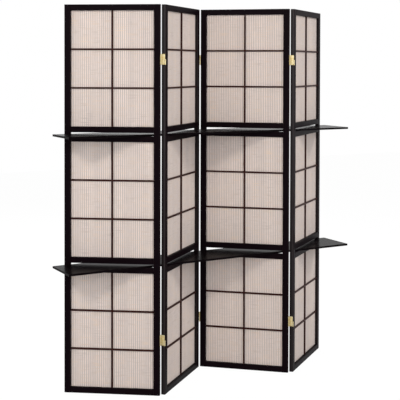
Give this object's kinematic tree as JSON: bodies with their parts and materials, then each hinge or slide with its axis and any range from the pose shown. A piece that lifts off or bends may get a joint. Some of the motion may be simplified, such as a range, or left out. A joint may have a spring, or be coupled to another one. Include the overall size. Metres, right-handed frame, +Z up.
{
  "type": "folding screen with shelves",
  "caption": "Freestanding room divider of hinged lattice panels with cloth infill, standing in a zig-zag with long shelf boards threaded through its slots.",
  "frame": {"origin": "middle of the screen's outline on the floor", "axes": "+Z up, +X along the shelf boards from left to right, +Y to the back of the screen"},
  "size_m": [1.524, 0.3218, 1.784],
  "materials": {
    "frame_wood": "satin dark espresso lacquer",
    "shelf_wood": "glossy dark espresso lacquer",
    "cloth": "matt slubbed beige cloth with fine upright stripes",
    "brass": "polished"
  },
  "bodies": {
    "hinge_core": {"middle_upper_hinge_pin": "brass", "middle_lower_hinge_pin": "brass"},
    "panel_2": {"panel_2_left_stile": "frame_wood", "panel_2_right_stile": "frame_wood", "panel_2_lower_sash": "frame_wood", "panel_2_lower_cloth": "cloth", "panel_2_middle_sash": "frame_wood", "panel_2_middle_cloth": "cloth", "panel_2_upper_sash": "frame_wood", "panel_2_upper_cloth": "cloth", "left_lower_hinge_second_leaf": "brass", "left_upper_hinge_second_leaf": "brass", "left_lower_hinge_link_plate": "brass", "left_upper_hinge_link_plate": "brass", "left_lower_hinge_pin": "brass", "left_upper_hinge_pin": "brass", "middle_lower_hinge_first_leaf": "brass", "middle_upper_hinge_first_leaf": "brass"},
    "panel_3": {"panel_3_left_stile": "frame_wood", "panel_3_right_stile": "frame_wood", "panel_3_lower_sash": "frame_wood", "panel_3_lower_cloth": "cloth", "panel_3_middle_sash": "frame_wood", "panel_3_middle_cloth": "cloth", "panel_3_upper_sash": "frame_wood", "panel_3_upper_cloth": "cloth", "middle_lower_hinge_second_leaf": "brass", "middle_upper_hinge_second_leaf": "brass", "middle_lower_hinge_link_plate": "brass", "middle_upper_hinge_link_plate": "brass", "right_lower_hinge_first_leaf": "brass", "right_upper_hinge_first_leaf": "brass"},
    "panel_1": {"panel_1_left_stile": "frame_wood", "panel_1_right_stile": "frame_wood", "panel_1_lower_sash": "frame_wood", "panel_1_lower_cloth": "cloth", "panel_1_middle_sash": "frame_wood", "panel_1_middle_cloth": "cloth", "panel_1_upper_sash": "frame_wood", "panel_1_upper_cloth": "cloth", "left_lower_hinge_first_leaf": "brass", "left_upper_hinge_first_leaf": "brass"},
    "panel_4": {"panel_4_left_stile": "frame_wood", "panel_4_right_stile": "frame_wood", "panel_4_lower_sash": "frame_wood", "panel_4_lower_cloth": "cloth", "panel_4_middle_sash": "frame_wood", "panel_4_middle_cloth": "cloth", "panel_4_upper_sash": "frame_wood", "panel_4_upper_cloth": "cloth", "right_lower_hinge_second_leaf": "brass", "right_upper_hinge_second_leaf": "brass", "right_lower_hinge_link_plate": "brass", "right_upper_hinge_link_plate": "brass", "right_lower_hinge_pin": "brass", "right_upper_hinge_pin": "brass"},
    "lower_shelf": {"lower_shelf": "shelf_wood"},
    "upper_shelf": {"upper_shelf": "shelf_wood"}
  },
  "joints": [
    {"name": "panel_2_fold", "type": "hinge", "parent": "hinge_core", "child": "panel_2", "pos_m": [0.0325, 0.14371, 0.892], "axis": [0, 0, 1], "range_deg": [-0.2, 49]},
    {"name": "panel_3_fold", "type": "hinge", "parent": "hinge_core", "child": "panel_3", "pos_m": [0.0325, 0.14371, 0.892], "axis": [0, 0, 1], "range_deg": [-47.15, 0.21]},
    {"name": "panel_1_fold", "type": "hinge", "parent": "panel_2", "child": "panel_1", "pos_m": [-0.32255, -0.13091, 0.892], "axis": [0, 0, 1], "range_deg": [-103.15, 0.44]},
    {"name": "panel_4_fold", "type": "hinge", "parent": "panel_3", "child": "panel_4", "pos_m": [0.37825, -0.14253, 0.892], "axis": [0, 0, 1], "range_deg": [-0.43, 99.4]},
    {"name": "lower_shelf_slide", "type": "slide", "parent": "hinge_core", "child": "lower_shelf", "axis": [1, 0, 0], "range_m": [-1.6, 1.6]},
    {"name": "upper_shelf_slide", "type": "slide", "parent": "hinge_core", "child": "upper_shelf", "axis": [1, 0, 0], "range_m": [-1.6, 1.6]}
  ],
  "couplings": [
    {"joint": "panel_3_fold", "follows": "panel_2_fold", "ratio": -0.96177},
    {"joint": "panel_1_fold", "follows": "panel_2_fold", "ratio": -2.1046},
    {"joint": "panel_4_fold", "follows": "panel_2_fold", "ratio": 2.0282}
  ]
}
